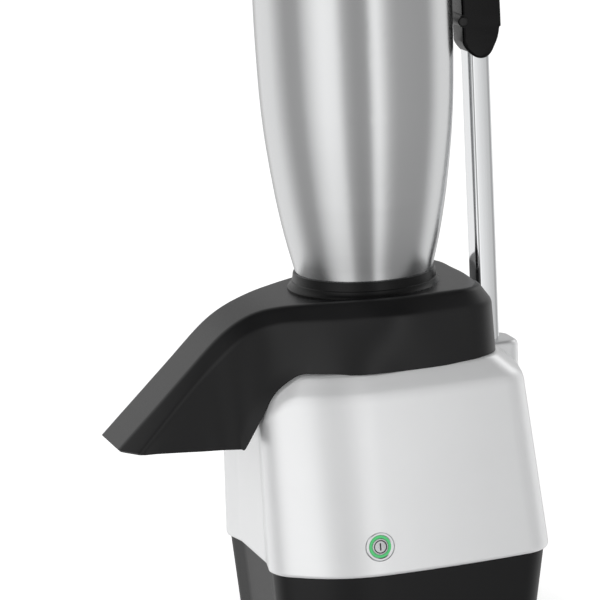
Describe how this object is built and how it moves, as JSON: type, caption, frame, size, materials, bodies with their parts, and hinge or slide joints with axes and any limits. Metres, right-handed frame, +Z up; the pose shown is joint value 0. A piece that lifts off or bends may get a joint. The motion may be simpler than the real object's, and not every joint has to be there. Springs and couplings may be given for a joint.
{
  "type": "ice crusher",
  "caption": "motor-driven ice crusher: flared steel hopper on a black crushing body with a front spout, silver housing with a lit push button, rear column carrying a hand feed lever",
  "frame": {"origin": "on the table plane, under the middle of the object's bounding box", "axes": "+Z up, +X from the spout to the column at the back end, the push button faces -Y and the cord inlet +Y"},
  "size_m": [0.3566, 0.2254, 0.5805],
  "materials": {
    "foot_rubber": "matt rubber",
    "screw_steel": "zinc plated",
    "sheet_steel": "plain sheet steel",
    "skirt_plastic": "fine textured black",
    "housing_paint": "silver powder coat with a fine sparkle",
    "body_black": "satin black coat",
    "gasket_rubber": "matt rubber",
    "chamber_steel": "plain stainless steel",
    "seal_rubber": "matt rubber",
    "rotor_aluminium": "machined casting",
    "blade_steel": "ground stainless steel",
    "shaft_steel": "ground steel",
    "motor_paint": "dark motor enamel",
    "bearing_steel": "ground bearing steel",
    "fan_plastic": "moulded black",
    "spacer_aluminium": "turned",
    "collar_black": "satin black",
    "hopper_steel": "stainless steel, brushed round the axis",
    "polished_steel": "polished stainless steel",
    "dark_screw": "blackened steel",
    "head_black": "satin black casting",
    "pin_steel": "turned steel",
    "lever_steel": "satin stainless steel",
    "grip_plastic": "black moulding",
    "lid_plastic": "black moulding",
    "pusher_plastic": "light grey food plastic",
    "bezel_chrome": "bright plated",
    "led_plastic": "green lit ring",
    "cap_steel": "spun stainless cap",
    "nut_plastic": "natural nylon",
    "switch_plastic": "black moulding",
    "board_resin": "green circuit board",
    "capacitor_plastic": "grey can",
    "gland_plastic": "black nylon"
  },
  "bodies": {
    "frame": {"rubber_feet": "foot_rubber", "foot_screws": "screw_steel", "bottom_plate": "sheet_steel", "base_skirt": "skirt_plastic", "base_screws": "screw_steel", "main_housing": "housing_paint", "crusher_body": "body_black", "body_gasket": "gasket_rubber", "body_screws": "screw_steel", "chamber_floor": "chamber_steel", "chamber_liner": "chamber_steel", "breaker_bars": "chamber_steel", "shaft_seal": "seal_rubber", "motor_can": "motor_paint", "upper_bearing": "bearing_steel", "lower_bearing": "bearing_steel", "motor_plate": "sheet_steel", "motor_screws": "screw_steel", "plate_spacers": "spacer_aluminium", "hopper_collar": "collar_black", "hopper": "hopper_steel", "column": "polished_steel", "column_screw": "dark_screw", "column_head": "head_black", "head_screw": "dark_screw", "pivot_pin": "pin_steel", "button_bezel": "bezel_chrome", "button_led_ring": "led_plastic", "switch_nut": "nut_plastic", "switch_body": "switch_plastic", "control_board": "board_resin", "board_posts": "nut_plastic", "board_bracket": "sheet_steel", "run_capacitor": "capacitor_plastic", "cord_gland": "gland_plastic"},
    "lever": {"lever_arm": "lever_steel", "lever_grip": "grip_plastic", "hopper_lid": "lid_plastic", "pusher_stem": "shaft_steel", "pusher_plate": "pusher_plastic"},
    "rotor": {"motor_shaft": "shaft_steel", "rotor_disc": "rotor_aluminium", "rotor_blades": "blade_steel", "rotor_nut": "screw_steel", "cooling_fan": "fan_plastic"},
    "button": {"button_cap": "cap_steel"}
  },
  "joints": [
    {"name": "lever_pivot", "type": "hinge", "parent": "frame", "child": "lever", "pos_m": [0.15297, 0, 0.562], "axis": [0, 1, 0], "range_deg": [0, 95]},
    {"name": "rotor_spin", "type": "hinge", "parent": "frame", "child": "rotor", "pos_m": [0.04597, 0, 0.126], "axis": [0, 0, 1], "continuous": true},
    {"name": "button_press", "type": "slide", "parent": "frame", "child": "button", "axis": [0, 0.9948, -0.1023], "range_m": [0, 0.0025], "stiffness_N_per_m": 800}
  ]
}
